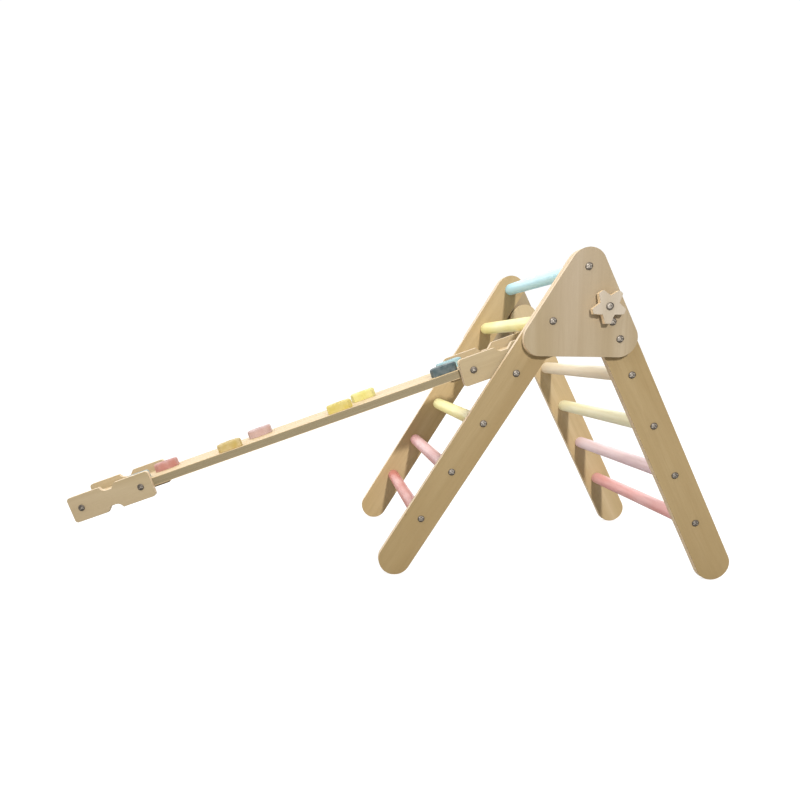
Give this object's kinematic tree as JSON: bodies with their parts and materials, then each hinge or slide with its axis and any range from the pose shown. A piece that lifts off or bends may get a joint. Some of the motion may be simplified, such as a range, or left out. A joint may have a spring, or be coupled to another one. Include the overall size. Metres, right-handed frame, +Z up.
{
  "type": "folding climbing triangle with ramp",
  "caption": "Folding wooden climbing triangle for a small child, with round painted rungs, star-shaped locking knobs and a narrow hooked-on ramp board carrying climbing holds",
  "frame": {"origin": "middle of the bounding box in X and Y, at the floor the feet stand on", "axes": "+Z up, +X from the ramp's low end to the folding ladder, rungs along Y, the ramp nearer the -Y side"},
  "size_m": [1.4798, 0.7108, 0.6843],
  "materials": {
    "birch_ply": "clear satin",
    "paint_blue": "satin paint",
    "paint_yellow": "satin paint",
    "paint_cream": "satin paint",
    "paint_pink": "satin paint",
    "paint_salmon": "satin paint",
    "paint_teal": "satin paint",
    "steel": "bright zinc plate",
    "zinc": "zinc plate"
  },
  "bodies": {
    "frame": {"rail_fixed_near": "birch_ply", "rail_fixed_far": "birch_ply", "rung_fixed_1": "paint_blue", "rung_fixed_2": "paint_yellow", "rung_fixed_3": "paint_cream", "rung_fixed_4": "paint_yellow", "rung_fixed_5": "paint_pink", "rung_fixed_6": "paint_salmon", "apex_plate_near": "birch_ply", "apex_plate_far": "birch_ply", "fixed_rung_bolts": "steel", "apex_bolts": "steel", "fixed_inserts": "zinc", "stop_bolts": "steel", "apex_inserts": "zinc"},
    "folding_ladder": {"rail_fold_near": "birch_ply", "rail_fold_far": "birch_ply", "rung_fold_1": "paint_salmon", "rung_fold_2": "paint_pink", "rung_fold_3": "paint_yellow", "rung_fold_4": "paint_cream", "rung_fold_5": "paint_blue", "fold_rung_bolts": "steel", "pivot_bolts": "steel", "fold_inserts": "zinc"},
    "knob_near": {"star_near": "birch_ply", "star_bolt_near": "steel", "star_spacer_near": "steel"},
    "knob_far": {"star_far": "birch_ply", "star_bolt_far": "steel", "star_spacer_far": "steel"},
    "ramp": {"ramp_board": "birch_ply", "hook_upper_near": "birch_ply", "hook_upper_far": "birch_ply", "hook_lower_near": "birch_ply", "hook_lower_far": "birch_ply", "ramp_bolts": "steel", "barrel_nuts": "zinc", "hold_1": "paint_teal", "hold_2": "paint_salmon", "hold_3": "paint_yellow", "hold_4": "paint_pink", "hold_5": "paint_yellow", "hold_6": "paint_yellow", "hold_7": "paint_teal", "hold_8": "paint_blue", "hold_bolts": "steel", "tee_nuts": "zinc"}
  },
  "joints": [
    {"name": "ladder_fold", "type": "hinge", "parent": "frame", "child": "folding_ladder", "pos_m": [0.41044, 0, 0.54436], "axis": [0, 1, 0], "range_deg": [0, 60]},
    {"name": "ramp_tilt", "type": "hinge", "parent": "frame", "child": "ramp", "pos_m": [0.23044, -0.182, 0.44043], "axis": [0, 1, 0], "range_deg": [0, 40]},
    {"name": "knob_near_turn", "type": "hinge", "parent": "frame", "child": "knob_near", "pos_m": [0.39391, -0.3455, 0.57298], "axis": [0, -1, 0], "continuous": true},
    {"name": "knob_far_turn", "type": "hinge", "parent": "frame", "child": "knob_far", "pos_m": [0.39391, 0.3455, 0.57298], "axis": [0, 1, 0], "continuous": true}
  ]
}
